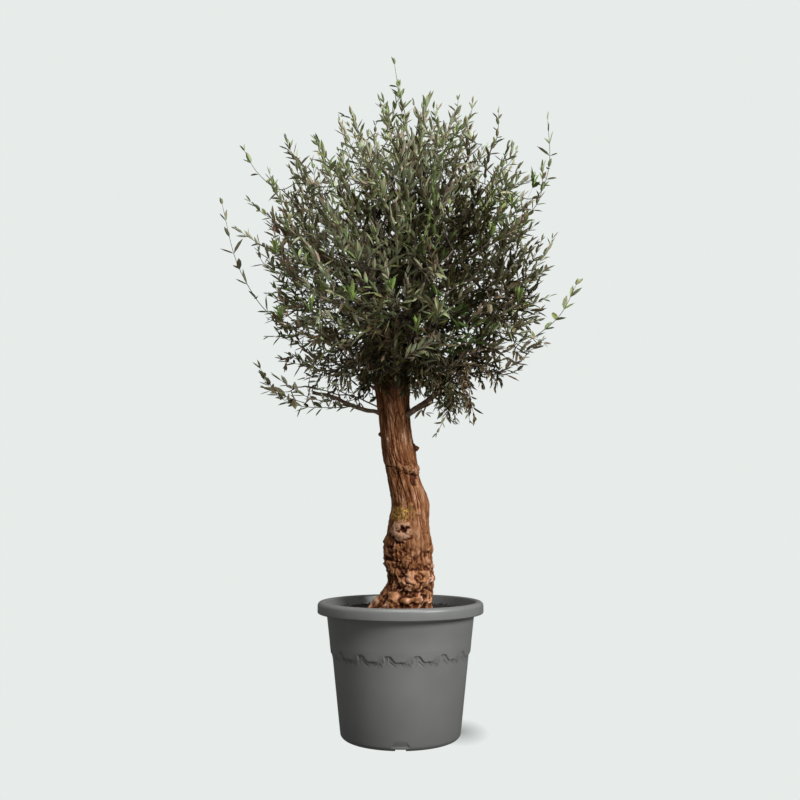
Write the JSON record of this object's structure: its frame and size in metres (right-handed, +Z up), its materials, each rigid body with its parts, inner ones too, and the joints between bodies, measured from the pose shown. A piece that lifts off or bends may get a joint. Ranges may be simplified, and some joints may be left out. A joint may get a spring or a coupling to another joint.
{
  "type": "potted olive tree",
  "caption": "Standard olive tree with a gnarled leaning trunk, pruned boughs and a rounded open crown of narrow leaves, in a round rimmed plastic pot.",
  "frame": {"origin": "middle of the flat underside of the pot, on the surface that it stands on", "axes": "+Z up along the trunk; -Y towards the front of the tree; +X to its right"},
  "size_m": [1.1691, 0.9113, 2.1611],
  "materials": {
    "pot_plastic": "matt grey moulded plastic with a faintly shiny rim",
    "compost": "dark moist crumbly compost",
    "bark": "rough fissured red-brown bark with burls",
    "foliage": "leathery narrow leaves, dark grey-green above and silvery below"
  },
  "bodies": {
    "root": {"bough_back_left": "bark", "bough_back_right": "bark", "bough_front_left": "bark", "bough_front_right": "bark", "bough_left": "bark", "bough_low_left_spray": "bark", "bough_low_right_spray": "bark", "bough_lower_back": "bark", "bough_lower_front": "bark", "bough_lower_left": "bark", "bough_lower_right": "bark", "bough_pruned": "bark", "bough_right": "bark", "bough_top": "bark", "bough_upper_back_left": "bark", "bough_upper_back_right": "bark", "bough_upper_front_left": "bark", "bough_upper_front_right": "bark", "bough_upper_left": "bark", "bough_upper_right": "bark", "compost": "compost", "mass_back_left": "foliage", "mass_back_right": "foliage", "mass_front_left": "foliage", "mass_front_right": "foliage", "mass_left": "foliage", "mass_low_left_spray": "foliage", "mass_low_right_spray": "foliage", "mass_lower_back": "foliage", "mass_lower_front": "foliage", "mass_lower_left": "foliage", "mass_lower_right": "foliage", "mass_right": "foliage", "mass_top": "foliage", "mass_upper_back_left": "foliage", "mass_upper_back_right": "foliage", "mass_upper_front_left": "foliage", "mass_upper_front_right": "foliage", "mass_upper_left": "foliage", "mass_upper_right": "foliage", "pot": "pot_plastic", "trunk": "bark"}
  },
  "joints": []
}
